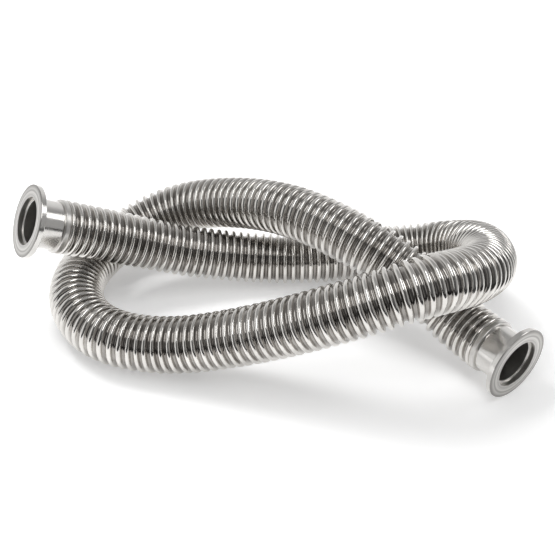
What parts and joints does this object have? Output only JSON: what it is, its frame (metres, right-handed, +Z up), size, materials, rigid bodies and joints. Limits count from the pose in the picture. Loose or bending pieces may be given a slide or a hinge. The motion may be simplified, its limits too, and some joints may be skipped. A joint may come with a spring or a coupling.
{
  "type": "vacuum bellows hose",
  "caption": "Flexible corrugated stainless steel vacuum hose, looped through itself in a loose overhand knot, with a small round clamp flange on a short stub at each end.",
  "frame": {"origin": "middle of the whole object's outline, on the surface it lies on", "axes": "+Z is up from that surface; +X runs the long way, from the raised end of the hose towards the end that lies flat; +Y completes the set"},
  "size_m": [0.2833, 0.1592, 0.0817],
  "materials": {
    "bellows_steel": "bright rolled stainless steel",
    "turned_steel": "fine turned stainless steel",
    "weld_ring_steel": "bright stainless steel"
  },
  "bodies": {
    "root": {"corrugated_hose": "bellows_steel", "flange_a": "turned_steel", "flange_b": "turned_steel", "end_ring_a": "weld_ring_steel", "end_ring_b": "weld_ring_steel"}
  },
  "joints": []
}
